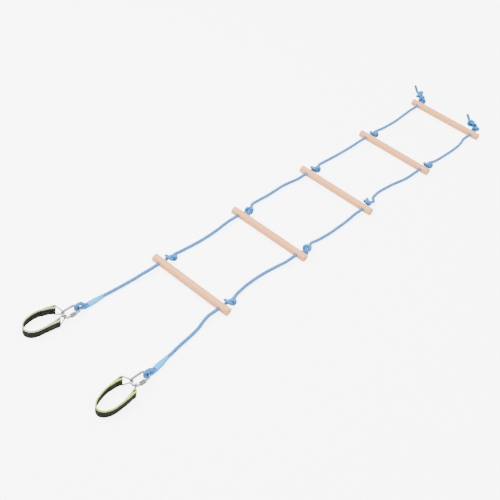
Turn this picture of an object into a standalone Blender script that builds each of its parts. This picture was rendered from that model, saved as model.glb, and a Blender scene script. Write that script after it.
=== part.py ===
"""Rope ladder with five wooden rungs on two knotted ropes.

Each rope ends in a sleeved eye, a quick link, two delta rings and a webbing strap
that goes round whatever the ladder hangs from. The ladder lies on the floor at full
length: X runs along the rungs, +Y from the straps to the rope tails, Z is up and the
floor is z = 0. Lengths are in metres.
"""

import math

import bmesh
import bpy
from mathutils import Vector

# Ladder
RUNG_COUNT = 5
RUNG_LENGTH = 0.355
RUNG_DIAMETER = 0.030
RUNG_PITCH = 0.4155
RUNG_CHAMFER = 0.002
HOLE_INSET = 0.0345
HOLE_DIAMETER = 0.0136
ROPE_DIAMETER = 0.012
TOUCH_GAP = 0.0003

# Where rung 1's middle stands, so that the rungs and straps together are centred
RUNG_1 = Vector((-0.0047, -0.5391, 0.0))

# Ropes
HOLE_X = RUNG_LENGTH / 2 - HOLE_INSET
ROPE_HIGH = RUNG_DIAMETER / 2
ROPE_LOW = ROPE_DIAMETER / 2
RUNG_TRAVEL = 0.040
KNOT_START = RUNG_DIAMETER / 2 + 0.0015
KNOT_SIZE = Vector((0.034, 0.042, 0.030))
END_KNOT_SIZE = Vector((0.034, 0.056, 0.030))
END_KNOT_TURN = math.radians(55)
END_KNOT_GAP = 0.0055
LEAD_HINGE = 0.075
LEAD_HINGE_DROP = 0.0004
POINT_STEP = 0.024
STUB = 0.008
ROPE_ROUNDNESS = 3
WIRE_ROUNDNESS = 2

# Rope eyes and sleeves
EYE_LENGTH = 0.040
EYE_RADIUS = 0.0110
SLEEVE_LENGTH = 0.062
SLEEVE_WALL = 0.0010
SLEEVE_SLACK = 0.0011
SLEEVE_HEIGHTS = (0.0073, 0.0087)
SLEEVE_MOUTH_SLACK = 0.0004
SLEEVE_TAPER = 0.0022
STRAND_SQUEEZE = 0.80
STRAND_SPREAD = 1.02
EYE_OPEN = 0.012
EYE_RISE = 0.0102
EYE_LEAN = 0.90
EYE_SHOULDER = 0.0142
EYE_DROP = -0.0106

# Quick links
LINK_HEIGHT = 0.0227
LINK_ROD = 0.008
LINK_HALF_LENGTH = 0.031
LINK_HALF_WIDTH = 0.016
LINK_CORNER = 0.013
GATE_GAP = (-0.009, -0.001)
NUT_SPAN = (-0.013, 0.007)
NUT_FLATS = 0.013
NUT_BORE = 0.0088

# Delta rings
RING_WIRE = 0.0045
RING_REACH = 0.030
RING_HOOK = 0.0071
RING_CORNER = 0.0035
RING_FLARE = math.radians(25.6)

# Straps
STRAP_WIDTH = 0.0326
STRAP_THICKNESS = 0.0038
STRAP_TURN = 0.0046
STRAP_FOLD = 0.042
STRAP_LAYER = 0.0021
STRAP_STEP = 0.009
STRAP_BEND = math.radians(7)

# Per side: the link's centre, the angles at which the far and near delta ring hook on
# the link's corners, the lead's sideways route and the strap's route round its loop.
SIDES = {
    "left": {
        "sign": -1,
        "link": (-0.1585, -0.3950),
        "ring_angles": (67.0, 13.0),
        "lead": [(-0.095, -0.1450), (-0.125, -0.1475), (-0.160, -0.1502), (-0.195, -0.1520),
                 (-0.230, -0.1540)],
        "strap": [(-0.2145, -0.4620), (-0.2205, -0.4870), (-0.2220, -0.5100),
                  (-0.2180, -0.5320), (-0.2060, -0.5500), (-0.1870, -0.5585),
                  (-0.1685, -0.5510), (-0.1575, -0.5330), (-0.1515, -0.5080)],
    },
    "right": {
        "sign": 1,
        "link": (0.1930, -0.4220),
        "ring_angles": (46.0, 40.0),
        "lead": [(-0.095, 0.1495), (-0.125, 0.1570), (-0.160, 0.1620), (-0.195, 0.1660),
                 (-0.230, 0.1700), (-0.265, 0.1755)],
        "strap": [(0.1570, -0.5000), (0.1590, -0.5290), (0.1640, -0.5560),
                  (0.1730, -0.5790), (0.1870, -0.5935), (0.2030, -0.5970),
                  (0.2175, -0.5880), (0.2270, -0.5690), (0.2310, -0.5450), (0.2310, -0.5180)],
    },
}

# Sideways offset of each rope from its holes, by distance past the rung it leaves:
# ropes are laid loosely, so no two spans bow alike.
SPANS = {
    ("left", 1): [(0.100, -0.0020), (0.150, 0.0010), (0.190, 0.0030), (0.225, 0.0035),
                  (0.285, 0.0010), (0.325, -0.0015)],
    ("left", 2): [(0.085, -0.0130), (0.105, -0.0170), (0.135, -0.0165), (0.170, -0.0145),
                  (0.225, -0.0148), (0.270, -0.0160), (0.305, -0.0130), (0.330, -0.0060)],
    ("left", 3): [(0.090, -0.0090), (0.120, -0.0105), (0.155, -0.0085), (0.190, -0.0065),
                  (0.225, -0.0055), (0.280, -0.0045), (0.325, -0.0025)],
    ("left", 4): [(0.095, -0.0025), (0.125, 0.0000), (0.155, 0.0015), (0.190, 0.0026),
                  (0.225, 0.0025), (0.265, 0.0000), (0.300, -0.0025), (0.330, -0.0020)],
    ("right", 1): [(0.090, -0.0095), (0.120, -0.0150), (0.150, -0.0185), (0.190, -0.0195),
                   (0.225, -0.0190), (0.260, -0.0165), (0.300, -0.0120), (0.330, -0.0055)],
    ("right", 2): [(0.090, -0.0080), (0.120, -0.0050), (0.155, -0.0015), (0.190, 0.0010),
                   (0.225, 0.0010), (0.285, 0.0003), (0.330, 0.0000)],
    ("right", 3): [(0.085, -0.0160), (0.110, -0.0235), (0.135, -0.0265), (0.160, -0.0260),
                   (0.190, -0.0235), (0.225, -0.0200), (0.260, -0.0145), (0.300, -0.0075),
                   (0.330, -0.0025)],
    ("right", 4): [(0.095, 0.0040), (0.125, 0.0066), (0.160, 0.0083), (0.190, 0.0095),
                   (0.225, 0.0105), (0.260, 0.0100), (0.300, 0.0080), (0.330, 0.0040)],
}
# Each tail's route from its end knot, which holds it a little off the floor
RUN_IN = 0.018          # straight rope kept past the rung's travel
RUN_IN_NEAR = 0.030
SAG_REACH = 0.055       # length over which a span settles onto the floor
CLEARANCE = 0.0002
SPAN_STEP = 0.015       # least distance from a span's end to its first route point
TAIL_STEP = 0.012
LEAD_STEP = 0.020
EYE_BEND = 0.018        # distance from the sleeve's mouth to the bend of each strand
EYE_SPREAD = 1.2
FOLD_FAR = 0.026        # distances from the ring's bar along a strap's folded end
FOLD_MIDDLE = 0.015
FOLD_NEAR = 0.006
FOLD_EASE = 0.0003
FOLD_TUCK = 0.0007
STRAP_ROUTE_STEP = 0.0016
NUT_EDGE = 0.0008
TAIL = [(0.000, 0.000, 0.000), (-0.008, 0.006, 0.001), (-0.015, 0.010, 0.004),
        (-0.024, 0.016, 0.011), (-0.031, 0.021, 0.020)]

# Colour, roughness and metallic value of each kind of piece
FINISHES = {
    "wood": ((0.80, 0.60, 0.42), 0.55, 0.0),
    "rope": ((0.10, 0.42, 0.85), 0.75, 0.0),
    "sleeve": ((0.30, 0.65, 0.95), 0.45, 0.0),
    "steel": ((0.72, 0.72, 0.70), 0.30, 1.0),
    "webbing": ((0.04, 0.045, 0.035), 0.80, 0.0),
}


def clear_scene():
    for item in list(bpy.data.objects):
        bpy.data.objects.remove(item, do_unlink=True)


def new_collection(name):
    group = bpy.data.collections.new(name)
    bpy.context.scene.collection.children.link(group)
    return group


def finish(piece, kind):
    colour, roughness, metallic = FINISHES[kind]
    material = bpy.data.materials.new(piece.name + "_" + kind)
    material.use_nodes = True
    shader = material.node_tree.nodes["Principled BSDF"]
    shader.inputs["Base Color"].default_value = (*colour, 1.0)
    shader.inputs["Roughness"].default_value = roughness
    shader.inputs["Metallic"].default_value = metallic
    piece.data.materials.append(material)


def add_mesh(name, mesh_tool, group, kind):
    mesh = bpy.data.meshes.new(name)
    mesh_tool.to_mesh(mesh)
    mesh_tool.free()
    piece = bpy.data.objects.new(name, mesh)
    group.objects.link(piece)
    if kind:
        finish(piece, kind)
    return piece


def smooth_route(points, step):
    """Points a step apart on one smooth curve through the given points."""
    ends = [2 * points[0] - points[1]] + points + [2 * points[-1] - points[-2]]
    dense = []
    for before, start, end, after in zip(ends, ends[1:], ends[2:], ends[3:]):
        length = (end - start).length
        slope_in = (end - before) * length / ((end - start).length + (start - before).length)
        slope_out = (after - start) * length / ((after - end).length + length)
        pieces = max(4, round(length / 0.001))
        for number in range(pieces):
            t = number / pieces
            dense.append((2 * t**3 - 3 * t**2 + 1) * start + (t**3 - 2 * t**2 + t) * slope_in
                         + (3 * t**2 - 2 * t**3) * end + (t**3 - t**2) * slope_out)
    dense.append(points[-1])
    travelled = [0.0]
    for start, end in zip(dense, dense[1:]):
        travelled.append(travelled[-1] + (end - start).length)
    count = max(2, round(travelled[-1] / step))
    route = []
    place = 0
    for number in range(count + 1):
        target = travelled[-1] * number / count
        while place < len(dense) - 2 and travelled[place + 1] < target:
            place += 1
        run = travelled[place + 1] - travelled[place]
        route.append(dense[place].lerp(dense[place + 1], (target - travelled[place]) / run))
    return route


def add_tube(name, points, diameter, group, kind, closed=False, scales=None,
             roundness=ROPE_ROUNDNESS):
    curve = bpy.data.curves.new(name, "CURVE")
    curve.dimensions = "3D"
    curve.bevel_depth = diameter / 2
    curve.bevel_resolution = roundness
    curve.use_fill_caps = not closed
    spline = curve.splines.new("POLY")
    spline.points.add(len(points) - 1)
    for number, point in enumerate(points):
        spline.points[number].co = (*point, 1.0)
        spline.points[number].radius = scales[number] if scales else 1.0
    spline.use_cyclic_u = closed
    piece = bpy.data.objects.new(name, curve)
    group.objects.link(piece)
    finish(piece, kind)
    return piece


def fillet_loop(corners, arc_steps=4):
    """A closed outline of (point, radius) corners, each rounded by an arc."""
    outline = []
    count = len(corners)
    for number, (corner, radius) in enumerate(corners):
        before = (corners[number - 1][0] - corner).normalized()
        after = (corners[(number + 1) % count][0] - corner).normalized()
        half = before.angle(after) / 2
        centre = corner + (before + after).normalized() * radius / math.sin(half)
        first = corner + before * radius / math.tan(half) - centre
        last = corner + after * radius / math.tan(half) - centre
        steps = max(arc_steps, round(math.degrees(math.pi - 2 * half) / 20))
        turn = first.angle(last)
        for step in range(steps + 1):
            t = step / steps
            spoke = (first * math.sin((1 - t) * turn) + last * math.sin(t * turn)) / math.sin(turn)
            outline.append(centre + spoke)
    return outline


def at(x, y, z):
    """A point of the ladder, measured from rung 1's middle, in the part's frame."""
    return RUNG_1 + Vector((x, y, z))


def rung_y(number):
    return RUNG_PITCH * (number - 1)


def cut(piece, cutter):
    cutter.hide_render = True
    cutter.display_type = "WIRE"
    modifier = piece.modifiers.new(cutter.name, "BOOLEAN")
    modifier.operation = "DIFFERENCE"
    modifier.solver = "EXACT"
    modifier.object = cutter


def add_cylinder(name, radius, length, sides, centre, axis, group, kind):
    mesh_tool = bmesh.new()
    bmesh.ops.create_cone(mesh_tool, cap_ends=True, segments=sides, radius1=radius,
                          radius2=radius, depth=length)
    piece = add_mesh(name, mesh_tool, group, kind)
    piece.rotation_mode = "QUATERNION"
    piece.rotation_quaternion = axis.to_track_quat("Z", "Y")
    piece.location = centre
    return piece


def add_rung(number, parts, cutters):
    centre = at(0, rung_y(number), ROPE_HIGH)
    rung = add_cylinder("rung_%d" % number, RUNG_DIAMETER / 2, RUNG_LENGTH, 32, centre,
                        Vector((1, 0, 0)), parts, "wood")
    edge = rung.modifiers.new("edge", "BEVEL")
    edge.width = RUNG_CHAMFER
    edge.segments = 1
    edge.limit_method = "ANGLE"
    edge.angle_limit = math.radians(60)
    for side, sign in (("left", -1), ("right", 1)):
        drill = add_cylinder("drill_%s_%d" % (side, number), HOLE_DIAMETER / 2,
                             2 * RUNG_DIAMETER, 20, at(sign * HOLE_X, rung_y(number), ROPE_HIGH),
                             Vector((0, 1, 0)), cutters, None)
        cut(rung, drill)


def add_knot(side, sign, number, parts):
    last = number == RUNG_COUNT
    size = END_KNOT_SIZE if last else KNOT_SIZE
    mesh_tool = bmesh.new()
    bmesh.ops.create_uvsphere(mesh_tool, u_segments=14, v_segments=9, radius=0.5)
    bmesh.ops.rotate(mesh_tool, verts=mesh_tool.verts,
                     matrix=Vector((0, 1, 0)).to_track_quat("Z", "Y").to_matrix())
    bmesh.ops.scale(mesh_tool, vec=size, verts=mesh_tool.verts)
    bmesh.ops.translate(mesh_tool, vec=(0, size.y / 2, 0), verts=mesh_tool.verts)
    knot = add_mesh("knot_%s_%d" % (side, number), mesh_tool, parts, "rope")
    knot.data.shade_smooth()
    gap = END_KNOT_GAP if last else 0.0
    knot.location = at(sign * HOLE_X, rung_y(number) + KNOT_START + gap, ROPE_HIGH)
    knot.rotation_euler = (0, 0, END_KNOT_TURN if last else 0)


def add_rope_in(side, sign, number, parts):
    """The rope from the fold before a rung, up off the floor, through it to its knot."""
    x = sign * HOLE_X
    y = rung_y(number)
    tip = at(x, y + KNOT_START - TOUCH_GAP, ROPE_HIGH)
    straight = [at(x, y - RUNG_TRAVEL - RUN_IN, ROPE_HIGH), at(x, y - RUN_IN_NEAR, ROPE_HIGH), tip]
    stub = Vector((0, STUB, 0))
    if number == 1:
        start = at(x, -LEAD_HINGE + TOUCH_GAP / 2, ROPE_HIGH - LEAD_HINGE_DROP)
        points = [start + stub] + straight[1:]
    else:
        start = fold_point(side, sign, number - 1) + Vector((0, TOUCH_GAP / 2, 0))
        points = [start + stub]
        points += [point for point in span_points(side, sign, number - 1)
                   if point.y > start.y + SPAN_STEP]
        points += straight
    add_tube("rope_%s_%d_in" % (side, number), [start] + smooth_route(points, POINT_STEP),
             ROPE_DIAMETER, parts, "rope")


def span_height(distance):
    """How high the rope's centre is, by distance past the rung that it leaves."""
    leave = KNOT_START + KNOT_SIZE.y
    arrive = RUNG_PITCH - RUNG_TRAVEL - RUN_IN
    near_end = min(distance - leave, arrive - distance)
    t = min(max(near_end / SAG_REACH, 0.0), 1.0)
    return ROPE_HIGH + (ROPE_LOW + CLEARANCE - ROPE_HIGH) * (3 * t**2 - 2 * t**3)


def span_points(side, sign, number):
    points = []
    for distance, offset in SPANS[side, number]:
        points.append(at(sign * HOLE_X + offset, rung_y(number) + distance,
                         span_height(distance)))
    return points


def fold_point(side, sign, number):
    """Where a span's rope crosses the fold line midway between two rungs."""
    y = at(0, rung_y(number) + RUNG_PITCH / 2, 0).y
    points = span_points(side, sign, number)
    for start, end in zip(points, points[1:]):
        if start.y <= y <= end.y:
            return start.lerp(end, (y - start.y) / (end.y - start.y))


def add_rope_out(side, sign, number, parts):
    """The rope from a rung's knot down to the floor and on to the fold."""
    x = sign * HOLE_X
    start = rung_y(number) + KNOT_START + KNOT_SIZE.y + TOUCH_GAP
    middle = fold_point(side, sign, number) - Vector((0, TOUCH_GAP / 2, 0))
    points = [at(x, start + STUB, ROPE_HIGH)]
    points += [point for point in span_points(side, sign, number)
               if point.y < middle.y - SPAN_STEP]
    points.append(middle - Vector((0, STUB, 0)))
    route = [at(x, start, ROPE_HIGH)] + smooth_route(points, POINT_STEP) + [middle]
    add_tube("rope_%s_%d_out" % (side, number), route, ROPE_DIAMETER, parts, "rope")


def add_tail(side, sign, parts):
    way = Vector((-math.sin(END_KNOT_TURN), math.cos(END_KNOT_TURN), 0))
    start = at(sign * HOLE_X, rung_y(RUNG_COUNT) + KNOT_START + END_KNOT_GAP, ROPE_HIGH)
    start += way * (END_KNOT_SIZE.y + TOUCH_GAP)
    points = [start] + [start + way * STUB + Vector(offset) for offset in TAIL]
    add_tube("rope_%s_tail" % side, smooth_route(points, TAIL_STEP), ROPE_DIAMETER, parts, "rope")


def eye_frame(side):
    """The eye's bar centre and the sleeve's two ends, on the lead's middle line."""
    link_x, link_y = SIDES[side]["link"]
    bar = Vector((link_x, link_y + LINK_HALF_LENGTH, LINK_HEIGHT))
    lead = SIDES[side]["lead"]
    aim = Vector((lead[-1][1], lead[-1][0], 0)) - Vector((bar.x, bar.y, 0))
    way = aim.normalized()
    throat = bar + way * EYE_LENGTH
    throat.z = SLEEVE_HEIGHTS[0]
    mouth = throat + way * SLEEVE_LENGTH
    mouth.z = SLEEVE_HEIGHTS[1]
    return bar, throat, mouth, way


def strand_points(side):
    """The lead's route from the hinge to the eye, round the bar and back, with scales."""
    bar, throat, mouth, way = eye_frame(side)
    across = Vector((way.y, -way.x, 0))
    beside = across * ROPE_DIAMETER * STRAND_SQUEEZE * STRAND_SPREAD / 2
    sign = SIDES[side]["sign"]
    hinge = Vector((sign * HOLE_X, -LEAD_HINGE - TOUCH_GAP / 2, ROPE_HIGH - LEAD_HINGE_DROP))
    points = [(hinge, 1.0), (hinge - Vector((0, STUB, 0)), 1.0)]
    for number, (y, x) in enumerate(SIDES[side]["lead"]):
        t = min((number + 1) / 3, 1.0)
        drop = (ROPE_HIGH - ROPE_LOW - CLEARANCE) * (3 * t**2 - 2 * t**3)
        if y > mouth.y + LEAD_STEP:
            points.append((Vector((x, y, ROPE_HIGH - drop)), 1.0))
    points.append((mouth + way * 0.004, 1.0))
    points.append((mouth - way * 0.005 - beside * 0.15, 0.95))
    points.append((mouth - way * 0.018 - beside * 0.75, STRAND_SQUEEZE))
    for inside in (0.032, 0.016, 0.004, -0.004):
        lift = Vector((0, 0, 0.0004 if inside < 0 else 0))
        points.append((throat + way * inside - beside + lift, STRAND_SQUEEZE))
    points.append((throat - way * EYE_BEND - beside * EYE_SPREAD + Vector((0, 0, EYE_SHOULDER)), 0.95))
    points.append((bar + Vector((0, EYE_OPEN, EYE_RISE)) - beside * 1.2, 1.0))
    for angle in range(90, 271, 20):
        turn = math.radians(angle)
        lean = -beside * EYE_LEAN * math.sin(turn)
        spoke = Vector((0, math.cos(turn), math.sin(turn))) * EYE_RADIUS
        points.append((bar + lean + spoke, 1.0))
    points.append((bar + Vector((0, EYE_OPEN, EYE_DROP)) + beside * 1.2, 1.0))
    points.append((throat - way * EYE_BEND + beside * EYE_SPREAD + Vector((0, 0, 0.0004)), 0.95))
    for inside in (-0.004, 0.004, 0.038):
        points.append((throat + way * inside + beside, STRAND_SQUEEZE))
    return points


def add_lead(side, parts):
    marked = strand_points(side)
    places = [at(*point) for point, _ in marked]
    route = places[:1] + smooth_route(places[1:], 0.009)
    scales = []
    for point in route:
        weights = []
        for place, (_, scale) in zip(places, marked):
            gap = (place - point).length
            weights.append((1 / (gap + 0.0005)**3, scale))
        total = sum(weight for weight, _ in weights)
        scales.append(sum(weight * scale for weight, scale in weights) / total)
    add_tube("lead_rope_" + side, route, ROPE_DIAMETER, parts, "rope", scales=scales)


def oval_ring(mesh_tool, centre, across, half_width, radius, count=20):
    """A ring of vertices round an upright oblong section."""
    ring = []
    for number in range(count):
        angle = 2 * math.pi * number / count
        side = max(half_width - radius, 0.0) * (1 if math.cos(angle) >= 0 else -1)
        place = centre + across * (side + radius * math.cos(angle))
        ring.append(mesh_tool.verts.new(place + Vector((0, 0, radius * math.sin(angle)))))
    return ring


def add_sleeve(side, parts):
    _, throat, mouth, way = eye_frame(side)
    across = Vector((way.y, -way.x, 0))
    strand = ROPE_DIAMETER * STRAND_SQUEEZE / 2
    wide = 2 * STRAND_SPREAD * strand + SLEEVE_SLACK
    thick = strand + SLEEVE_SLACK
    narrow = ROPE_DIAMETER / 2 + SLEEVE_SLACK + SLEEVE_MOUTH_SLACK
    stations = [(0.0, wide, thick), (0.35, wide, thick), (0.66, wide, thick),
                (0.80, wide, thick), (0.92, narrow + SLEEVE_TAPER, narrow),
                (1.0, narrow, narrow)]
    mesh_tool = bmesh.new()
    rings = []
    for share, half_width, radius in stations:
        centre = at(*throat.lerp(mouth, share))
        rings.append(oval_ring(mesh_tool, centre, across, half_width, radius))
    for first, second in zip(rings, rings[1:]):
        for number in range(len(first)):
            following = (number + 1) % len(first)
            mesh_tool.faces.new((first[number], first[following], second[following],
                                 second[number]))
    bmesh.ops.recalc_face_normals(mesh_tool, faces=mesh_tool.faces)
    sleeve = add_mesh("sleeve_" + side, mesh_tool, parts, "sleeve")
    wall = sleeve.modifiers.new("wall", "SOLIDIFY")
    wall.thickness = SLEEVE_WALL
    wall.offset = 1.0
    sleeve.data.shade_smooth()


def add_link(side, parts):
    x, y = SIDES[side]["link"]
    corners = []
    for along, over in ((1, 1), (1, -1), (-1, -1), (-1, 1)):
        corner = Vector((over * LINK_HALF_WIDTH, along * LINK_HALF_LENGTH, 0))
        corners.append((corner, LINK_CORNER))
    outline = fillet_loop(corners, arc_steps=7)
    ends = [Vector((LINK_HALF_WIDTH, GATE_GAP[1], 0)), Vector((LINK_HALF_WIDTH, GATE_GAP[0], 0))]
    outline = [ends[0]] + outline + [ends[1]]
    centre = at(x, y, LINK_HEIGHT)
    add_tube("link_" + side, [centre + point for point in outline], LINK_ROD, parts, "steel",
             roundness=WIRE_ROUNDNESS)


def add_gate(side, parts, cutters):
    x, y = SIDES[side]["link"]
    length = NUT_SPAN[1] - NUT_SPAN[0]
    centre = at(x + LINK_HALF_WIDTH, y + sum(NUT_SPAN) / 2, LINK_HEIGHT)
    along = Vector((0, 1, 0))
    nut = add_cylinder("gate_nut_" + side, NUT_FLATS / math.sqrt(3), length, 6, centre, along,
                       parts, "steel")
    edge = nut.modifiers.new("edge", "BEVEL")
    edge.width = NUT_EDGE
    edge.segments = 1
    bore = add_cylinder("bore_" + side, NUT_BORE / 2, 2 * length, 20, centre, along, cutters, None)
    cut(nut, bore)


def ring_hooks(side):
    """Each delta ring's hook point, its outward way and its strap bar."""
    x, y = SIDES[side]["link"]
    hooks = []
    for over, angle in zip((-1, 1), SIDES[side]["ring_angles"]):
        turn = math.radians(angle)
        way = Vector((over * math.sin(turn), -math.cos(turn), 0))
        corner = Vector((x + over * (LINK_HALF_WIDTH - LINK_CORNER),
                         y - LINK_HALF_LENGTH + LINK_CORNER, LINK_HEIGHT))
        hook = corner + way * LINK_CORNER
        hooks.append((hook, way, hook + way * RING_REACH))
    return hooks


def add_rings(side, parts):
    tip = -RING_HOOK / math.sin(RING_FLARE)
    rise = (RING_REACH - tip) * math.tan(RING_FLARE)
    flat = [(Vector((tip, 0, 0)), RING_HOOK), (Vector((RING_REACH, -rise, 0)), RING_CORNER),
            (Vector((RING_REACH, rise, 0)), RING_CORNER)]
    outline = fillet_loop(flat, arc_steps=5)
    for name, (hook, way, _) in zip(("outer", "inner"), ring_hooks(side)):
        points = [at(*(hook + way * point.x + Vector((0, 0, point.y)))) for point in outline]
        add_tube("ring_%s_%s" % (side, name), points, RING_WIRE, parts, "steel", closed=True,
                 roundness=WIRE_ROUNDNESS)


def strap_centreline(side):
    """The webbing's middle line seen from above, from one sewn end to the other."""
    (_, _, first_bar), (_, _, last_bar) = ring_hooks(side)
    loop = [Vector((x, y, 0)) for x, y in SIDES[side]["strap"]]
    legs = []
    for bar, following, turn in ((first_bar, loop[0], 1), (last_bar, loop[-1], -1)):
        bar = Vector((bar.x, bar.y, 0))
        away = (following - bar).normalized()
        inward = Vector((-away.y, away.x, 0)) * turn
        leg = [bar + away * STRAP_FOLD + inward * STRAP_LAYER,
               bar + away * FOLD_FAR + inward * STRAP_LAYER,
               bar + away * FOLD_MIDDLE + inward * (STRAP_LAYER + FOLD_EASE),
               bar + away * FOLD_NEAR + inward * (STRAP_TURN - FOLD_TUCK)]
        for angle in range(0, 181, 30):
            spin = math.radians(angle)
            leg.append(bar + inward * STRAP_TURN * math.cos(spin)
                       - away * STRAP_TURN * math.sin(spin))
        leg += [bar + away * FOLD_NEAR - inward * (STRAP_TURN - FOLD_TUCK),
                bar + away * FOLD_MIDDLE - inward * (STRAP_LAYER + FOLD_EASE),
                bar + away * FOLD_FAR - inward * STRAP_LAYER]
        legs.append(leg)
    return legs[0] + loop + legs[1][::-1]


def thin_out(route):
    """The route's points where it bends, and one every so often along its straights."""
    kept = [route[0]]
    for before, point, after in zip(route, route[1:], route[2:]):
        bend = (point - before).angle(after - point)
        if bend > STRAP_BEND or (point - kept[-1]).length > STRAP_STEP:
            kept.append(point)
    kept.append(route[-1])
    return kept


def add_strap(side, parts):
    route = smooth_route(strap_centreline(side), STRAP_ROUTE_STEP)
    kept = thin_out(route)
    ways = [(after - point).normalized() for point, after in zip(kept, kept[1:])]
    hooks = ring_hooks(side)
    flat_y = (hooks[0][2].y + hooks[1][2].y) / 2 - 0.005
    far_y = min(point.y for point in route)
    lowest = LINK_HEIGHT - STRAP_WIDTH / 2 - 0.0002
    mesh_tool = bmesh.new()
    rings = []
    for point, before, after in zip(kept, ways[:1] + ways, ways + ways[-1:]):
        middle = (before + after).normalized()
        reach = STRAP_THICKNESS / 2 / middle.dot(after)
        out = Vector((-middle.y, middle.x, 0)) * reach
        sink = lowest * min(max((flat_y - point.y) / (flat_y - far_y), 0.0), 1.0)
        low = at(point.x, point.y, LINK_HEIGHT - STRAP_WIDTH / 2 - sink)
        high = low + Vector((0, 0, STRAP_WIDTH))
        rings.append([mesh_tool.verts.new(corner)
                      for corner in (low + out, low - out, high - out, high + out)])
    edges = []
    for first, second in zip(rings, rings[1:]):
        for number in range(4):
            following = (number + 1) % 4
            face = mesh_tool.faces.new((first[number], second[number], second[following],
                                        first[following]))
            if number in (0, 2):
                edges.append(face)
    mesh_tool.faces.new(rings[0])
    mesh_tool.faces.new(rings[-1][::-1])
    bmesh.ops.triangulate(mesh_tool, faces=edges)
    bmesh.ops.recalc_face_normals(mesh_tool, faces=mesh_tool.faces)
    add_mesh("strap_" + side, mesh_tool, parts, "webbing")


def main():
    clear_scene()
    parts = new_collection("rope_ladder")
    cutters = new_collection("cutters")
    for number in range(1, RUNG_COUNT + 1):
        add_rung(number, parts, cutters)
    for side, facts in SIDES.items():
        sign = facts["sign"]
        for number in range(1, RUNG_COUNT + 1):
            add_rope_in(side, sign, number, parts)
            add_knot(side, sign, number, parts)
            if number < RUNG_COUNT:
                add_rope_out(side, sign, number, parts)
        add_tail(side, sign, parts)
        add_lead(side, parts)
        add_sleeve(side, parts)
        add_link(side, parts)
        add_gate(side, parts, cutters)
        add_rings(side, parts)
        add_strap(side, parts)


main()
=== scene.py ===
import math

import bmesh
import bpy
import numpy as np
from mathutils import Matrix, Vector


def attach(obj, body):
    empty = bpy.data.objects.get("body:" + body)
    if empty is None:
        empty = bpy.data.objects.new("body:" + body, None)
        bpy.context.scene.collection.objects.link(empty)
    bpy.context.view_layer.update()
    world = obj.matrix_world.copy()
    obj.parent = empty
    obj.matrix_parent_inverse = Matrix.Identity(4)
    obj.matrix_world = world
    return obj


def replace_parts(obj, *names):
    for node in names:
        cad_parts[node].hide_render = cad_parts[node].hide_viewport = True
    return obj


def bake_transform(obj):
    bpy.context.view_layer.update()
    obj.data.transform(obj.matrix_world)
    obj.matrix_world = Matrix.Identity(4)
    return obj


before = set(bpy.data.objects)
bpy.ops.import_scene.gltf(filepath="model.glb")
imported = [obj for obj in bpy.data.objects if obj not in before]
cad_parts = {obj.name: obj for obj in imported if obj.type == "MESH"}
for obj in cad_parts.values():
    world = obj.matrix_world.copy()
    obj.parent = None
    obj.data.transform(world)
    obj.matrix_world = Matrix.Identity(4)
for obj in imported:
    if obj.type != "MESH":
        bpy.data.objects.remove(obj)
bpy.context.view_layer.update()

# ---------------------------------------------------------------- the ladder's sizes
# Metres. X is along the rungs and Y along the ladder, with the straps at -Y. Places are
# from rung 1's middle, on the floor.
RUNG_1 = np.array((-0.0047, -0.5391, 0.0))
RUNGS = 5
RUNG_LENGTH = 0.355
RUNG_RADIUS = 0.015
RUNG_PITCH = 0.4155
HOLE_X = RUNG_LENGTH / 2 - 0.0345
HOLE_RADIUS = 0.0068
# A hole's shape from the rung's middle outward: (distance, how much wider).
HOLE = ((0.0115, 0.0), (0.0128, 0.0003), (0.0146, 0.0016), (0.030, 0.0016))
ROPE_HIGH = 0.015
ROPE_DIAMETER = 0.012
FLOOR_HEIGHT = 0.0069
KNOT_START = 0.0165
KNOT_LENGTH = 0.042
RUN_IN = 0.006
POINT_GAP = 0.012
STRAIGHT_IN = 0.058
STRAIGHT_AHEAD = 0.030
STRAIGHT_EASE = 0.028
SAG_REACH = 0.055
# The rope above rung 1: (distance, how far it has sunk from the hole's height).
LEAD_START = ((0.020, 0.0), (0.050, 0.0002), (0.064, 0.0004))
END_KNOT_TURN = math.radians(55)

EYE_LENGTH = 0.040
EYE_RADIUS = 0.0104
SLEEVE_LENGTH = 0.062
SLEEVE_HEIGHTS = (0.0073, 0.0087)
# The sleeve's lip: (how far in, how far along).
SLEEVE_LIP = ((0.0005, 0.0003), (0.0009, -0.0003), (0.0010, -0.004))
STRAND_SPREAD = 1.02
STRAND_SQUEEZE = 0.80

LINK_HEIGHT = 0.0227
LINK_ROD = 0.008
LINK_HALF_LENGTH = 0.031
LINK_HALF_WIDTH = 0.016
LINK_CORNER = 0.013
GATE_GAP = (-0.009, -0.001)
NUT_SPAN = (-0.013, 0.007)
NUT_FLATS = 0.013
NUT_BORE = 0.0088
THREAD_PITCH = 0.00125
THREAD_DEPTH = 0.00034
THREAD_LENGTH = 0.015
CHAMFER = 0.0006

RING_WIRE = 0.0045
RING_REACH = 0.030
RING_HOOK = 0.0071
RING_CORNER = 0.0035
RING_FLARE = math.radians(25.6)

STRAP_WIDTH = 0.0326
STRAP_THICKNESS = 0.0036
STRAP_TURN = 0.0046
STRAP_FOLD = 0.042
STRAP_LAYER = 0.0021
# The turned-back end: (distance from the ring, distance from the middle of both layers).
STRAP_END = ((0.026, STRAP_LAYER), (0.015, STRAP_LAYER + 0.0003), (0.006, STRAP_TURN - 0.0007))
STRAP_STEP = 0.0011
STRIPE = 0.0056
STITCH = 0.0026
STITCH_GAP = 0.0007
STITCH_INSET = 0.0062
STITCH_BOX = (0.018, 0.039)
STITCH_RADII = (0.00018, 0.00033)
STITCH_SINK = 0.00012

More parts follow.
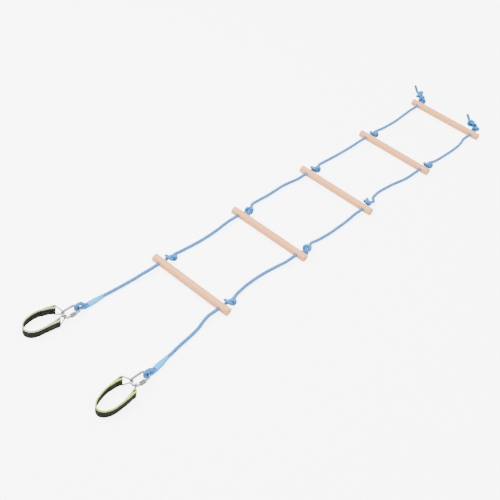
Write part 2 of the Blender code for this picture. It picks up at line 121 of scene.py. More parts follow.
# lead is (y, x) and strap is (x, y), in order along the rope and round the strap.
SIDES = {
    "left": {
        "sign": -1,
        "link": (-0.1585, -0.3950),
        "ring_angles": (67.0, 13.0),
        "lead": [(-0.095, -0.1450), (-0.125, -0.1475), (-0.160, -0.1502), (-0.195, -0.1520),
                 (-0.230, -0.1540)],
        "strap": [(-0.2145, -0.4620), (-0.2205, -0.4870), (-0.2220, -0.5100),
                  (-0.2180, -0.5320), (-0.2060, -0.5500), (-0.1870, -0.5585),
                  (-0.1685, -0.5510), (-0.1575, -0.5330), (-0.1515, -0.5080)],
    },
    "right": {
        "sign": 1,
        "link": (0.1930, -0.4220),
        "ring_angles": (46.0, 40.0),
        "lead": [(-0.095, 0.1495), (-0.125, 0.1570), (-0.160, 0.1620), (-0.195, 0.1660),
                 (-0.230, 0.1700), (-0.265, 0.1755)],
        "strap": [(0.1570, -0.5000), (0.1590, -0.5290), (0.1640, -0.5560),
                  (0.1730, -0.5790), (0.1870, -0.5935), (0.2030, -0.5970),
                  (0.2175, -0.5880), (0.2270, -0.5690), (0.2310, -0.5450), (0.2310, -0.5180)],
    },
}

# Each span's rope: (distance past its upper rung, sway from the straight line).
SPANS = {
    ("left", 1): [(0.100, -0.0020), (0.150, 0.0010), (0.190, 0.0030), (0.225, 0.0035),
                  (0.285, 0.0010), (0.325, -0.0015)],
    ("left", 2): [(0.085, -0.0130), (0.105, -0.0170), (0.135, -0.0165), (0.170, -0.0145),
                  (0.225, -0.0148), (0.270, -0.0160), (0.305, -0.0130), (0.330, -0.0060)],
    ("left", 3): [(0.090, -0.0090), (0.120, -0.0105), (0.155, -0.0085), (0.190, -0.0065),
                  (0.225, -0.0055), (0.280, -0.0045), (0.325, -0.0025)],
    ("left", 4): [(0.095, -0.0025), (0.125, 0.0000), (0.155, 0.0015), (0.190, 0.0026),
                  (0.225, 0.0025), (0.265, 0.0000), (0.300, -0.0025), (0.330, -0.0020)],
    ("right", 1): [(0.090, -0.0095), (0.120, -0.0150), (0.150, -0.0185), (0.190, -0.0195),
                   (0.225, -0.0190), (0.260, -0.0165), (0.300, -0.0120), (0.330, -0.0055)],
    ("right", 2): [(0.090, -0.0080), (0.120, -0.0050), (0.155, -0.0015), (0.190, 0.0010),
                   (0.225, 0.0010), (0.285, 0.0003), (0.330, 0.0000)],
    ("right", 3): [(0.085, -0.0160), (0.110, -0.0235), (0.135, -0.0265), (0.160, -0.0260),
                   (0.190, -0.0235), (0.225, -0.0200), (0.260, -0.0145), (0.300, -0.0075),
                   (0.330, -0.0025)],
    ("right", 4): [(0.095, 0.0040), (0.125, 0.0066), (0.160, 0.0083), (0.190, 0.0095),
                   (0.225, 0.0105), (0.260, 0.0100), (0.300, 0.0080), (0.330, 0.0040)],
}

# Each end knot: how it rises, its size against the others, where the rope bends into it,
# how many places its two halves share, how the second leans, and its tail.
END_KNOT_RISE = math.radians(13)
END_KNOT_SCALE = 0.97
END_KNOT_SHIFT = {"left": 0.0, "right": 0.006}
END_KNOT_BEND = 0.0200
END_KNOT_SHARED = 7
END_KNOT_LEAN = 75
END_TAIL = [(-0.006, 0.002, 0.007), (-0.012, 0.004, 0.013), (-0.018, 0.0055, 0.018),
            (-0.023, 0.007, 0.0245)]

# Per knot: which way its bulk lies, whether it is tied the other way round, how much it
# is stretched along the rope and how flat it lies.
KNOTS = {
    ("left", 1): (40, True, 1.15, 0.66),
    ("left", 2): (78, False, 0.98, 0.72),
    ("left", 3): (44, True, 1.08, 0.78),
    ("left", 4): (60, True, 1.05, 0.76),
    ("left", 5): (86, False, 0.92, 0.92),
    ("right", 1): (36, True, 1.05, 0.66),
    ("right", 2): (55, False, 1.10, 0.74),
    ("right", 3): (-62, False, 1.05, 0.74),
    ("right", 4): (48, True, 1.05, 0.76),
    ("right", 5): (78, True, 0.92, 0.92),
}

# ---------------------------------------------------------------- the braid
STRANDS = 4
BRAID_PITCH = 0.044
BRAID_BASE = 0.00590
BRAID_RELIEF = 0.00070
BRAID_SIDES = 32
BRAID_STEP = 0.00125
TIP_LENGTH = 0.0058
MELT_LENGTH = 0.006
KNOT_SCALE = 0.0118
KNOT_REACH = 1.9
KNOT_HALF = KNOT_REACH * KNOT_SCALE
KNOT_IN = 0.0115
UP = np.array((0.0, 0.0, 1.0))

# ---------------------------------------------------------------- camera and light
CAMERA_PLACE = (1.4199, -2.3077, 2.1968)
CAMERA_FORWARD = (-0.4250, 0.6215, -0.6581)
CAMERA_UP = (-0.5183, 0.4290, 0.7398)
CAMERA_LENS = 65.97
# How bright the sky is, from straight down (0) to straight up (1).
SKY = ((0.0, 1.0), (0.50, 0.85), (0.58, 0.10), (0.78, 0.16), (0.90, 1.0))
FLOOR_GLOW = 5.5
WORLD_LIGHT = 2.3
# (name, place, aim, size, power)
LAMPS = (
    ("key", (-1.8, -1.2, 3.0), (0.0, 0.0, 0.0), 2.2, 200.0),
    ("fill", (2.6, -0.6, 2.8), (0.0, 0.1, 0.0), 2.6, 84.0),
    ("back", (-0.4, 3.0, 2.4), (0.0, 0.4, 0.0), 2.2, 60.0),
)


def at(x, y, z):
    return RUNG_1 + np.array((x, y, z))


def rung_y(number):
    return RUNG_PITCH * (number - 1)


def rope_x(side):
    return SIDES[side]["sign"] * HOLE_X


def unit(vector):
    return vector / np.linalg.norm(vector)


def smoothstep(t):
    t = np.clip(t, 0, 1)
    return t * t * (3 - 2 * t)


def around(count):
    """Even steps round a circle."""
    return 2 * np.pi * np.arange(count) / count


def lengths(line):
    steps = np.linalg.norm(np.diff(line, axis=0), axis=1)
    return np.concatenate([[0.0], np.cumsum(steps)])


def resample(line, count):
    travelled = lengths(line)
    places = np.linspace(0, travelled[-1], count)
    return np.stack([np.interp(places, travelled, line[:, axis]) for axis in range(3)], 1)


def smooth_route(points, step):
    """Points a step apart on one smooth curve through the given points."""
    points = [np.asarray(point, float) for point in points]
    ends = [2 * points[0] - points[1]] + points + [2 * points[-1] - points[-2]]
    dense = []
    for before, start, end, after in zip(ends, ends[1:], ends[2:], ends[3:]):
        length = np.linalg.norm(end - start)
        slope_in = (end - before) * length / (length + np.linalg.norm(start - before))
        slope_out = (after - start) * length / (np.linalg.norm(after - end) + length)
        pieces = max(4, round(length / 0.0008))
        t = (np.arange(pieces) / pieces)[:, None]
        dense.append((2 * t**3 - 3 * t**2 + 1) * start + (t**3 - 2 * t**2 + t) * slope_in
                     + (3 * t**2 - 2 * t**3) * end + (t**3 - t**2) * slope_out)
    dense.append(points[-1][None])
    dense = np.concatenate(dense)
    count = max(3, round(lengths(dense)[-1] / step) + 1)
    return resample(dense, count)


def frames(path, first, last=None):
    """Tangents and two side vectors carried along the path without twist, then turned
    evenly so that the last side vector points along last."""
    tangents = np.gradient(path, axis=0)
    tangents /= np.linalg.norm(tangents, axis=1)[:, None]
    normals = np.zeros_like(path)
    normals[0] = unit(first - tangents[0] * first.dot(tangents[0]))
    for i in range(len(path) - 1):
        normal = normals[i] - tangents[i + 1] * normals[i].dot(tangents[i + 1])
        normals[i + 1] = unit(normal)
    sides = np.cross(tangents, normals)
    if last is not None:
        goal = unit(last - tangents[-1] * last.dot(tangents[-1]))
        angle = math.atan2(goal.dot(sides[-1]), goal.dot(normals[-1]))
        turn = (lengths(path) / lengths(path)[-1] * angle)[:, None]
        normals, sides = (normals * np.cos(turn) + sides * np.sin(turn),
                          sides * np.cos(turn) - normals * np.sin(turn))
    return tangents, normals, sides


# ---------------------------------------------------------------- meshes
def new_object(name, data, material=None, body=None, node=None):
    """Links a piece. It may ride on a body and stand in for a CAD node."""
    piece = bpy.data.objects.new(name, data)
    bpy.context.scene.collection.objects.link(piece)
    if material:
        data.materials.append(material)
    if body:
        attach(piece, body)
    if node:
        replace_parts(piece, node)
    return piece


def face_out(mesh):
    """Turns every face of a closed mesh outward."""
    tool = bmesh.new()
    tool.from_mesh(mesh)
    bmesh.ops.recalc_face_normals(tool, faces=tool.faces)
    tool.to_mesh(mesh)
    tool.free()


def move_vertices(piece, change):
    """Lets change move the rows of a piece's vertices."""
    rows = np.array([vertex.co for vertex in piece.data.vertices])
    change(rows)
    piece.data.vertices.foreach_set("co", rows.astype(np.float32).reshape(-1))
    piece.data.update()


def tube_rows(path, normals, across, radius):
    """Rings round a path. radius is (rings, sides)."""
    angle = around(radius.shape[1])
    return (path[:, None] + normals[:, None] * (np.cos(angle) * radius)[..., None]
            + across[:, None] * (np.sin(angle) * radius)[..., None])


def grid_mesh(name, rows, closed_rows=False, caps=(False, False), turns=None, attributes=None):
    """A mesh of rings: rows is (rings, sides, 3), each ring is closed, and closed_rows joins
    the last ring to the first. turns is each ring's V."""
    rings, sides = rows.shape[:2]
    verts = rows.reshape(-1, 3)
    ring = np.arange(rings if closed_rows else rings - 1)
    side = np.arange(sides)
    a, b = np.meshgrid(ring, side, indexing="ij")
    following_ring = (a + 1) % rings
    following_side = (b + 1) % sides
    quads = np.stack([a * sides + b, a * sides + following_side,
                      following_ring * sides + following_side,
                      following_ring * sides + b], -1).reshape(-1, 4)
    faces = quads.tolist()
    if caps[0]:
        faces.append(list(range(sides))[::-1])
    if caps[1]:
        faces.append([(rings - 1) * sides + k for k in range(sides)])
    mesh = bpy.data.meshes.new(name)
    mesh.from_pydata(verts.tolist(), [], faces)
    u = np.stack([b, b + 1, b + 1, b], -1).reshape(-1) / sides
    if turns is None:
        turns = np.arange(rings + 1) / rings
    turns = np.append(turns, 2 * turns[-1] - turns[-2])
    v = np.stack([turns[a], turns[a], turns[a + 1], turns[a + 1]], -1).reshape(-1)
    layer = mesh.uv_layers.new(name="UVMap")
    values = np.zeros((len(mesh.loops), 2), np.float32)
    values[:len(u), 0] = u
    values[:len(v), 1] = v
    layer.data.foreach_set("uv", values.reshape(-1))
    for key, data in (attributes or {}).items():
        attribute = mesh.attributes.new(key, "FLOAT", "POINT")
        attribute.data.foreach_set("value", np.asarray(data, np.float32).reshape(-1))
    mesh.polygons.foreach_set("use_smooth", np.ones(len(mesh.polygons), bool))
    mesh.update()
    return mesh


def braid_heights(u, v):
    """Height of the braid's surface, and whether the strand on top winds left or right."""
    a = STRANDS * (u + v)
    b = STRANDS * (u - v)
    i, j = np.floor(a), np.floor(b)
    across_a = np.sin(np.pi * (a - i))
    across_b = np.sin(np.pi * (b - j))
    over_a = np.cos(np.pi * (b - 0.5 + i))
    over_b = -np.cos(np.pi * (a - 0.5 + j))
    height_a = np.sqrt(across_a) * (0.60 + 0.40 * over_a)
    height_b = np.sqrt(across_b) * (0.60 + 0.40 * over_b)
    return np.maximum(height_a, height_b), (height_a > height_b).astype(float)


def braided(name, path, first=UP, last=None, scales=1.0, tip=False, whole=False):
    """A braided rope along the path. whole makes the braid come out at both ends alike, and
    tip rounds and closes the far end."""
    _, normals, across = frames(path, first, last)
    travelled = lengths(path)
    turns = travelled / BRAID_PITCH
    if whole:
        repeats = max(1, round(turns[-1] * STRANDS / 2)) * 2 / STRANDS
        turns = turns * repeats / turns[-1]
    u = np.arange(BRAID_SIDES) / BRAID_SIDES
    heights, family = braid_heights(u[None, :], turns[:, None])
    scale = np.ones(len(path)) * scales
    relief = np.ones(len(path))
    if tip:
        to_go = travelled[-1] - travelled
        left = np.clip(to_go / TIP_LENGTH, 0, 1)
        scale = scale * np.sqrt(np.clip(1 - (1 - left)**2, 0.0008, 1)) ** 0.9
        relief = np.clip(to_go / MELT_LENGTH - 0.5, 0.15, 1)
    radius = (BRAID_BASE + BRAID_RELIEF * heights * relief[:, None]) * scale[:, None]
    mesh = grid_mesh(name, tube_rows(path, normals, across, radius), caps=(False, tip),
                     turns=turns,
                     attributes={"strand": heights, "family": family,
                                 "melt": np.repeat(1 - relief, BRAID_SIDES)})
    return new_object(name, mesh, ROPE)


# ---------------------------------------------------------------- the camera
def make_camera():
    data = bpy.data.cameras.new("camera")
    data.lens = CAMERA_LENS
    data.sensor_width = 36.0
    data.clip_start = 0.05
    data.clip_end = 60.0
    camera = new_object("camera", data)
    forward = Vector(CAMERA_FORWARD).normalized()
    right = forward.cross(Vector(CAMERA_UP)).normalized()
    up = right.cross(forward).normalized()
    turn = Matrix((right, up, -forward)).transposed()
    camera.matrix_world = Matrix.Translation(CAMERA_PLACE) @ turn.to_4x4()
    bpy.context.scene.camera = camera


make_camera()


# ---------------------------------------------------------------- materials
class Nodes:
    """A short way to write a node tree."""

    def __init__(self, tree, shader):
        self.tree = tree
        self.shader = tree.nodes[shader]

    def add(self, kind, inputs=None, **settings):
        node = self.tree.nodes.new(kind)
        for key, value in settings.items():
            setattr(node, key, value)
        for key, value in (inputs or {}).items():
            self.put(node.inputs[key], value)
        return node

    def put(self, socket, value):
        if isinstance(value, bpy.types.NodeSocket):
            self.tree.links.new(value, socket)
        elif socket.type == "RGBA":
            socket.default_value = (*value, 1.0)
        else:
            socket.default_value = value

    def math(self, operation, *values):
        node = self.tree.nodes.new("ShaderNodeMath")
        node.operation = operation
        for socket, value in zip(node.inputs, values):
            self.put(socket, value)
        return node.outputs[0]

    def plus(self, *values):
        return self.math("ADD", *values)

    def minus(self, *values):
        return self.math("SUBTRACT", *values)

    def times(self, *values):
        return self.math("MULTIPLY", *values)

    def mix(self, factor, first, second):
        node = self.add("ShaderNodeMix", data_type="RGBA")
        for socket, value in zip((0, 6, 7), (factor, first, second)):
            self.put(node.inputs[socket], value)
        return node.outputs[2]

    def ramp(self, factor, stops):
        node = self.tree.nodes.new("ShaderNodeValToRGB")
        elements = node.color_ramp.elements
        while len(elements) < len(stops):
            elements.new(0.5)
        for element, (place, colour) in zip(elements, stops):
            element.position = place
            element.color = (*colour, 1.0)
        self.put(node.inputs[0], factor)
        return node.outputs[0]

    def noise(self, scale, detail, vector=None, distortion=0.0):
        return self.add("ShaderNodeTexNoise", {
            "Vector": vector or self.place(), "Scale": scale, "Detail": detail,
            "Roughness": 0.5, "Distortion": distortion}).outputs[0]

    def bump(self, height, distance, strength):
        return self.add("ShaderNodeBump", {"Height": height, "Distance": distance,
                                           "Strength": strength}).outputs[0]

    def attribute(self, name):
        return self.add("ShaderNodeAttribute", attribute_name=name).outputs["Fac"]

    def place(self, scale=(1, 1, 1), turn=(0, 0, 0), move=(0, 0, 0)):
        where = self.add("ShaderNodeTexCoord").outputs["Object"]
        return self.add("ShaderNodeMapping", {"Vector": where, "Scale": scale,
                                              "Rotation": turn, "Location": move}).outputs[0]

    def set(self, **values):
        for key, value in values.items():
            self.put(self.shader.inputs[key.replace("_", " ")], value)


def new_material(name):
    material = bpy.data.materials.new(name)
    material.use_nodes = True
    return material, Nodes(material.node_tree, "Principled BSDF")


def rope_material():
    material, n = new_material("rope_blue_braid")
    strand = n.attribute("strand")
    family = n.attribute("family")
    melt = n.attribute("melt")
    uv = n.add("ShaderNodeSeparateXYZ", {"Vector": n.add("ShaderNodeUVMap").outputs[0]})
    u, v = uv.outputs[0], uv.outputs[1]
    a = n.times(n.plus(u, v), float(STRANDS))
    b = n.times(n.minus(u, v), float(STRANDS))
    own = n.add("ShaderNodeMix", {0: family, 2: b, 3: a}).outputs[0]
    yarn = n.math("SINE", n.times(own, 2 * math.pi * 5))
    yarn = n.times(n.plus(yarn, 1.0), 0.5)
    fuzz = n.noise(900.0, 2.0)
    wear = n.noise(26.0, 4.0)
    # Painted shade and light on the braid: the blue is darkest in the grooves between strands,
    # where the strand height is low, and lightest on the strands' tops.
    colour = n.ramp(strand, [(0.30, (0.000, 0.030, 0.12)), (0.62, (0.000, 0.155, 0.49)),
                             (0.98, (0.002, 0.300, 0.90))])
    # Painted shade: the blue is darker in the fine grooves between the yarns, where the yarn bump
    # is low.
    colour = n.mix(n.times(n.minus(1.0, yarn), 0.26), colour, (0.001, 0.12, 0.36))
    colour = n.mix(n.times(wear, 0.18), colour, (0.006, 0.38, 0.92))
    colour = n.mix(n.times(melt, 0.75), colour, (0.008, 0.09, 0.32))
    height = n.plus(n.times(yarn, 0.75), n.times(fuzz, 0.5))
    n.set(Base_Color=colour, Roughness=0.55, Normal=n.bump(height, 0.00022, 0.8))
    n.set(Sheen_Weight=0.18, Sheen_Roughness=0.45, Sheen_Tint=(0.6, 0.85, 1.0))
    return material


def wood_material(number):
    material, n = new_material("wood_rung_%d" % number)
    shift = (number * 3.17, number * 0.61, number * 1.37)
    rise = 0.030 + 0.006 * (number % 3)
    turn = (0.7 * number, 0.0, 0.0)

    def grain(scale, detail, stretch):
        return n.noise(scale, detail, n.place((stretch, 1.0, 1.0), move=shift))

    parts = n.add("ShaderNodeSeparateXYZ", {"Vector": n.place(turn=turn)})
    wander = grain(2.2, 2.0, 1.2)
    y = n.plus(parts.outputs[1], n.times(n.minus(wander, 0.5), 0.012))
    z = n.plus(parts.outputs[2], rise)
    radius = n.math("SQRT", n.plus(n.times(y, y), n.times(z, z)))
    warp = grain(30.0, 3.0, 0.05)
    radius = n.plus(radius, n.times(warp, 0.0022))
    ring = n.math("FRACT", n.times(radius, 380.0))
    ring = n.math("POWER", ring, 2.2)
    fibre = grain(900.0, 3.0, 0.012)
    pores = grain(2600.0, 1.0, 0.010)
    broad = grain(9.0, 3.0, 0.35)
    tint = (number * 0.37) % 1.0
    pale = (1.00 - 0.02 * tint, 0.425 - 0.02 * tint, 0.145 - 0.02 * tint)
    warm = (0.90, 0.300, 0.085)
    colour = n.mix(n.times(ring, 0.42), pale, warm)
    colour = n.mix(n.times(fibre, 0.30), colour, (1.00, 0.49, 0.19))
    fleck = n.math("GREATER_THAN", pores, 0.63)
    colour = n.mix(n.times(fleck, 0.18), colour, (0.50, 0.30, 0.17))
    colour = n.mix(n.times(n.minus(broad, 0.35), 0.55), colour, (0.96, 0.37, 0.115))
    true_normal = n.add("ShaderNodeNewGeometry").outputs["True Normal"]
    geometry = n.add("ShaderNodeSeparateXYZ", {"Vector": true_normal})
    end = n.math("GREATER_THAN", n.math("ABSOLUTE", geometry.outputs[0]), 0.8)
    colour = n.mix(n.times(end, 0.35), colour, (0.58, 0.37, 0.22))
    height = n.plus(n.times(fibre, 0.6), n.times(ring, 0.3))
    rough = n.plus(n.times(fibre, 0.12), 0.46)
    n.set(Base_Color=colour, Roughness=rough, Normal=n.bump(height, 0.00012, 0.6))
    n.set(Coat_Weight=0.05, Coat_Roughness=0.5)
    return material


def steel_material(name, shade, rough):
    material, n = new_material(name)
    cloud = n.noise(320.0, 3.0)
    fine = n.noise(2400.0, 2.0)
    colour = n.mix(cloud, (shade * 0.92, shade * 0.93, shade * 0.95),
                   (shade, shade, shade * 1.01))
    roughness = n.plus(n.times(cloud, 0.14), rough)
    n.set(Base_Color=colour, Metallic=1.0, Roughness=roughness,
          Normal=n.bump(fine, 0.00003, 0.35))
    return material


def sleeve_material():
    material, n = new_material("sleeve_blue_film")
    crease = n.noise(90.0, 3.0, n.place((1.0, 0.30, 1.0)), distortion=0.8)
    fine = n.noise(900.0, 2.0)
    # Painted shade: the film's blue is darker in the hollows of its creases and lighter on their
    # ridges, following the same noise as the bump.
    colour = n.mix(crease, (0.000, 0.37, 0.95), (0.003, 0.48, 1.00))
    height = n.plus(crease, n.times(fine, 0.12))
    n.set(Base_Color=colour, Roughness=0.42, Normal=n.bump(height, 0.0005, 0.5))
    n.set(Specular_IOR_Level=0.35, Coat_Weight=0.06, Coat_Roughness=0.3)
    return material


def webbing_material(name, face, stripe):
    """Dark woven faces with a bright stripe along the top edge."""
    material, n = new_material(name)
    edge = n.attribute("edge")
    along = n.attribute("along")
    over = n.attribute("over")
    pick = n.math("SINE", n.times(along, 2 * math.pi / 0.0016))
    rib = n.math("SINE", n.plus(n.times(over, 2 * math.pi / 0.0011), n.times(pick, 0.9)))
    twill = n.math("SINE", n.times(n.plus(n.math("ABSOLUTE", over), along),
                                  2 * math.pi / 0.0028))
    weave = n.plus(n.plus(n.times(rib, 0.30), n.times(twill, 0.30)), 0.5)
    fuzz = n.noise(1500.0, 2.0)
    patch = n.noise(60.0, 3.0)
    # Painted shade and light along the weave: the dark faces are darkened in the weave's hollows
    # and lightened on its raised threads.
    dark = n.mix(weave, [0.45 * c for c in face], [1.25 * c for c in face])
    dark = n.mix(n.times(patch, 0.35), dark, (0.018, 0.021, 0.011))
    # The stripe gets the same painted shade in the weave's hollows.
    bright = n.mix(weave, [0.72 * c for c in stripe], stripe)
    colour = n.mix(edge, dark, bright)
    height = n.plus(weave, n.times(fuzz, 0.35))
    n.set(Base_Color=colour, Roughness=0.82, Normal=n.bump(height, 0.00028, 0.9))
    n.set(Specular_IOR_Level=0.25)
    return material


def thread_material():
    material, n = new_material("thread_olive")
    twist = n.noise(1800.0, 2.0)
    colour = n.mix(twist, (0.055, 0.060, 0.040), (0.130, 0.140, 0.095))
    n.set(Base_Color=colour, Roughness=0.6, Normal=n.bump(twist, 0.0001, 0.5))
    return material


ROPE = rope_material()
STEEL = steel_material("steel_zinc", 0.40, 0.22)
WIRE = steel_material("steel_ring_wire", 0.34, 0.24)
NUT = steel_material("steel_nut", 0.22, 0.28)
SLEEVE = sleeve_material()
WEBBING = {
    "left": webbing_material("webbing_left", (0.010, 0.012, 0.006), (0.74, 0.88, 0.44)),
    "right": webbing_material("webbing_right", (0.010, 0.012, 0.006), (0.70, 1.00, 0.14)),
}
THREAD = thread_material()


# ---------------------------------------------------------------- the ropes' routes
def span_height(distance):
    """How high the rope lies between two rungs: in the holes' line, then on the floor."""
    leave = KNOT_START + KNOT_LENGTH
    arrive = RUNG_PITCH - STRAIGHT_IN
    near_end = min(distance - leave, arrive - distance)
    return ROPE_HIGH + (FLOOR_HEIGHT - ROPE_HIGH) * smoothstep(near_end / SAG_REACH)


def span_points(side, number):
    return [at(rope_x(side) + offset, rung_y(number) + distance, span_height(distance))
            for distance, offset in SPANS[side, number]]


def eye_frame(side):
    """The link's bar, the sleeve's two ends, the way from the bar to the rung, the way
    across it, and how far one strand lies beside the middle."""
    link_x, link_y = SIDES[side]["link"]
    bar = np.array((link_x, link_y + LINK_HALF_LENGTH, LINK_HEIGHT))
    lead_y, lead_x = SIDES[side]["lead"][-1]
    way = unit(np.array((lead_x - bar[0], lead_y - bar[1], 0.0)))
    throat = bar + way * EYE_LENGTH
    throat[2] = SLEEVE_HEIGHTS[0]
    mouth = throat + way * SLEEVE_LENGTH
    mouth[2] = SLEEVE_HEIGHTS[1]
    across = np.array((way[1], -way[0], 0.0))
    beside = across * ROPE_DIAMETER * STRAND_SQUEEZE / 2 * STRAND_SPREAD
    return bar, throat, mouth, way, across, beside


def tie(reach=KNOT_REACH, count=96, rounds=1400):
    """An overhand knot pulled tight in a line one unit thick, from -reach to +reach on Y."""
    # An open trefoil to start from, with its ends run far out.
    t = np.linspace(-2.12, 2.12, 400)
    line = np.stack([t**3 - 3 * t, (t**5 - 10 * t) / 4.2, t**4 - 4 * t**2 + 1.6], 1) * 1.25
    far = 8.0
    if line[0, 1] > 0:
        line = line[::-1]
    line = np.vstack([[0, -far, 0], line, [0, far, 0]])
    line = resample(line, count)
    index = np.arange(count)
    # Each round draws the ends in, shortens the line and pushes crossing strands apart.
    for number in range(rounds):
        end = far - (far - reach) * min(1.0, number / (rounds * 0.5))
        line[0] = (0, -end, 0)
        line[-1] = (0, end, 0)
        line[1:-1] += 0.45 * ((line[:-2] + line[2:]) / 2 - line[1:-1])
        spacing = np.linalg.norm(np.diff(line, axis=0), axis=1).mean()
        distant = np.abs(index[:, None] - index[None]) > math.ceil(1.45 / spacing)
        for _ in range(3):
            apart = line[:, None] - line[None]
            distance = np.linalg.norm(apart, axis=2)
            touch = distant & (distance < 1.0)
            push = np.where(touch, (1.0 - distance) / 2, 0) / np.maximum(distance, 1e-6)
            move = (apart * push[..., None]).sum(1) / np.maximum(touch.sum(1), 1)[:, None]
            line[1:-1] += move[1:-1]
        if number % 20 == 0:
            line = resample(line, count)
    return line


OVERHAND = tie()


def knot_path(side_way, mirror, stretch):
    """An overhand knot's route about its own centre, in metres. side_way is the angle
    from straight up, towards +X, of the way that the knot's bulk lies off the rope."""
    line = OVERHAND.copy()
    if mirror:
        line[:, 0] *= -1
    ease = smoothstep((KNOT_REACH - 0.12 - np.abs(line[:, 1])) / 0.70)
    index = np.arange(len(line))
    outer = (index < len(line) * 0.25) | (index > len(line) * 0.75)
    line[:, ::2] *= np.where(outer, ease, 1)[:, None]
    roll = math.radians(side_way + 180)
    c, s = math.cos(roll), math.sin(roll)
    x = line[:, 0] * c + line[:, 2] * s
    z = -line[:, 0] * s + line[:, 2] * c
    path = np.stack([x, line[:, 1] * stretch, z], 1) * KNOT_SCALE
    path = np.vstack([path[:-1:2], path[-1:]])
    return smooth_route(path, BRAID_STEP)


def settle(rows, floor=0.0004, knee=0.004):
    """Rope resting on the floor: what would go below it is pressed flat against it, more
    and more from a knee's height above it."""
    z = rows[..., 2]
    low = floor + knee
    under = z < low
    z[under] = low - (low - floor) * (1 - np.exp(-(low - z[under]) / (low - floor)))
    return rows


def knot_ends(side, number):
    """Where the knot's own rope starts and stops, past the rung that it holds."""
    return KNOT_IN, KNOT_IN + 2 * KNOT_HALF * KNOTS[side, number][2]


def ease_bend(path, centre, reach, rounds=60):
    """Smooths the path near a corner."""
    near = np.clip(1 - np.linalg.norm(path - centre, axis=1) / reach, 0, 1)[1:-1, None]
    for _ in range(rounds):
        middle = (path[:-2] + path[2:]) / 2
        path[1:-1] += (middle - path[1:-1]) * np.minimum(near * 2, 1)
    return path


def double_knot(side_way, mirror, stretch):
    """Two small overhands pulled up one against the other."""
    first = knot_path(side_way, mirror, stretch) * END_KNOT_SCALE
    second = knot_path(side_way - END_KNOT_LEAN, not mirror, stretch) * END_KNOT_SCALE
    first, second = first[:-END_KNOT_SHARED], second[END_KNOT_SHARED:]
    second = second - second[0] + first[-1] + np.array((0, BRAID_STEP, 0))
    return ease_bend(np.vstack([first, second]), first[-1], 0.008)


def end_knot_path(side, body):
    """The last knot lies turned along its rung, and the rope's tail stands out of it."""
    x = rope_x(side)
    base = rung_y(RUNGS)
    pivot = at(x + END_KNOT_SHIFT[side], base + END_KNOT_BEND, ROPE_HIGH)
    local = body - body[0] + np.array((0, 0.002, 0))
    c, s = math.cos(END_KNOT_TURN), math.sin(END_KNOT_TURN)
    rise, level = math.sin(END_KNOT_RISE), math.cos(END_KNOT_RISE)
    ahead = local[:, 1] * level - local[:, 2] * rise
    height = local[:, 1] * rise + local[:, 2] * level
    turned = np.stack([local[:, 0] * c - ahead * s, local[:, 0] * s + ahead * c, height], 1)
    turned += pivot
    lead_in = resample(np.array([at(x, base + KNOT_IN, ROPE_HIGH), pivot]), 8)
    way = np.array((-s * level, c * level, rise))
    end = turned[-1]
    tail = [end, end + way * 0.004]
    tail += [end + way * 0.006 + np.array(offset) for offset in END_TAIL]
    tail = smooth_route(tail, BRAID_STEP)
    path = np.vstack([lead_in[:-1], turned[:-1], tail])
    path = resample(path, round(lengths(path)[-1] / BRAID_STEP))
    return ease_bend(ease_bend(path, pivot, 0.012), end, 0.012)


def flatten(knot, middle, flat, reach):
    """Presses the knot's bulk flatter about the rope's height, fading out at its ends."""
    def press(rows):
        far = np.linalg.norm(rows[:, :2] - middle[:2], axis=1) / reach
        weight = smoothstep((1.02 - far) / 0.30)
        rows[:, 2] = ROPE_HIGH + (rows[:, 2] - ROPE_HIGH) * (1 - (1 - flat) * weight)
        settle(rows)

    move_vertices(knot, press)


def make_knot(side, number):
    side_way, mirror, stretch, flat = KNOTS[side, number]
    start, stop = knot_ends(side, number)
    nodes = ["knot_%s_%d" % (side, number)]
    last = number == RUNGS
    if last:
        body = double_knot(side_way, mirror, stretch)
        path = end_knot_path(side, body)
        middle = path[8:8 + len(body)].mean(0)
        nodes.append("rope_%s_tail" % side)
    else:
        middle = at(rope_x(side), rung_y(number) + (start + stop) / 2, ROPE_HIGH)
        path = knot_path(side_way, mirror, stretch) + middle
    knot = braided("knot_%s_%d_tied" % (side, number), path, last=None if last else UP,
                   tip=last, whole=not last)
    flatten(knot, middle, flat, (stop - start) / 2 * (1.4 if last else 1.05))
    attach(knot, "station_%d" % number)
    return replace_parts(knot, *nodes)


def rope_cord(path):
    float(lengths(path)[-1])


def make_span(side, number):
    """The rope from one rung's knot to the next, sinking to the floor between them."""
    x = rope_x(side)
    leave = rung_y(number) + knot_ends(side, number)[1]
    arrive = rung_y(number + 1) + KNOT_IN
    turn_in = rung_y(number + 1) - STRAIGHT_IN
    points = [at(x, y, ROPE_HIGH) for y in (leave, leave + RUN_IN)]
    points += [point for point in span_points(side, number)
               if point[1] > points[-1][1] + POINT_GAP]
    points += [at(x, y, ROPE_HIGH)
               for y in (turn_in, turn_in + STRAIGHT_EASE, arrive - RUN_IN, arrive)]
    path = smooth_route(points, BRAID_STEP)
    entry = at(x, turn_in, ROPE_HIGH)
    straight = smoothstep((path[:, 1] - entry[1] + STRAIGHT_AHEAD) / STRAIGHT_EASE)
    path[:, ::2] += (entry[::2] - path[:, ::2]) * straight[:, None]
    rope = braided("rope_%s_span_%d" % (side, number), path, last=UP, whole=True)
    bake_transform(rope)
    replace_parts(rope, "rope_%s_%d_out" % (side, number), "rope_%s_%d_in" % (side, number + 1))
    if number == RUNGS - 1:
        rope_cord(path)
    else:
        rope_cord(path)


